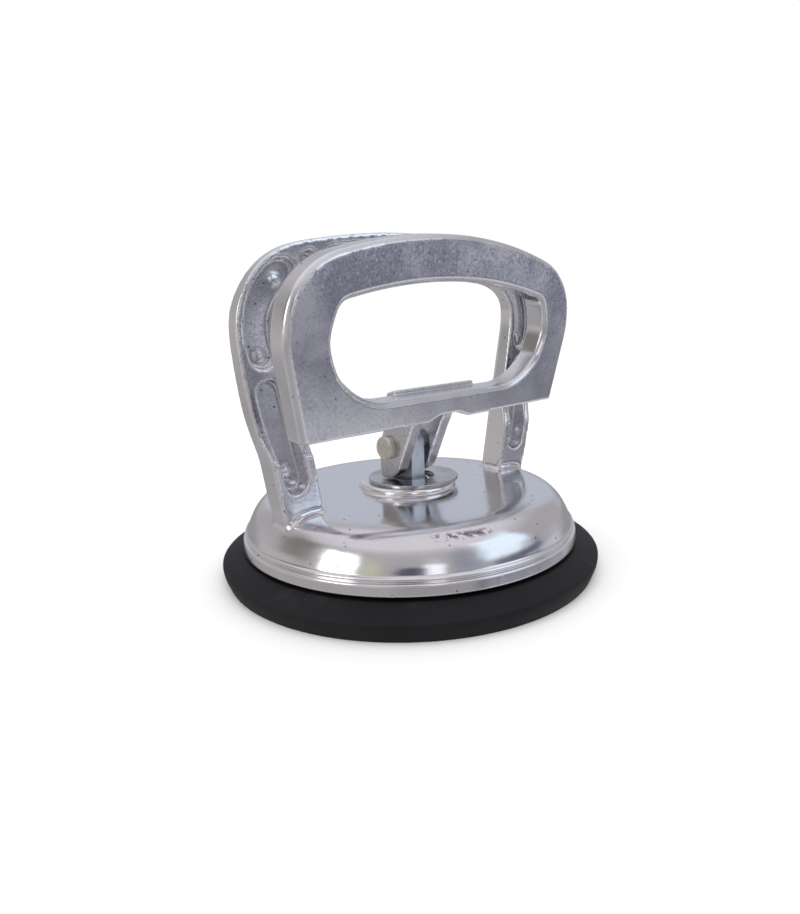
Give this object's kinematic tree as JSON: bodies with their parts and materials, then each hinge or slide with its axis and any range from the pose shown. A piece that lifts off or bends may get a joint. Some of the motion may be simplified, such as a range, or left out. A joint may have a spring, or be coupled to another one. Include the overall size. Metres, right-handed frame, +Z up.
{
  "type": "vacuum suction cup",
  "caption": "Hand lifter with a round rubber pad, a polished domed casting with a fixed arched handle, and a cam lever that locks the suction.",
  "frame": {"origin": "centre of the pad's sealing face", "axes": "+Z up out of the pad, +X along the handles, -Y towards the lever"},
  "size_m": [0.12, 0.12, 0.1018],
  "materials": {
    "rubber_pad": "matte moulded",
    "backing_plate": "zinc plated",
    "draw_tongue": "bright zinc plated",
    "pivot_pin": "dull nickel",
    "pin_clip": "spring steel",
    "wear_washer": "zinc plated",
    "return_spring": "spring steel",
    "body_casting": "polished die casting",
    "lever": "polished die casting"
  },
  "bodies": {
    "pad": {"rubber_pad": "rubber_pad", "backing_plate": "backing_plate", "draw_tongue": "draw_tongue", "pivot_pin": "pivot_pin", "pin_clip": "pin_clip", "return_spring": "return_spring"},
    "casting": {"body_casting": "body_casting", "wear_washer": "wear_washer"},
    "lever": {"lever": "lever"}
  },
  "joints": [
    {"name": "lever_pivot", "type": "hinge", "parent": "pad", "child": "lever", "pos_m": [0, -0.001, 0.0382], "axis": [1, 0, 0], "range_deg": [0, 55]},
    {"name": "casting_lift", "type": "slide", "parent": "pad", "child": "casting", "axis": [0, 0, 1], "range_m": [0, 0.003], "deforming": ["return_spring"]}
  ],
  "couplings": [
    {"joint": "casting_lift", "follows": "lever_pivot", "m_per_rad": 0.0031}
  ]
}
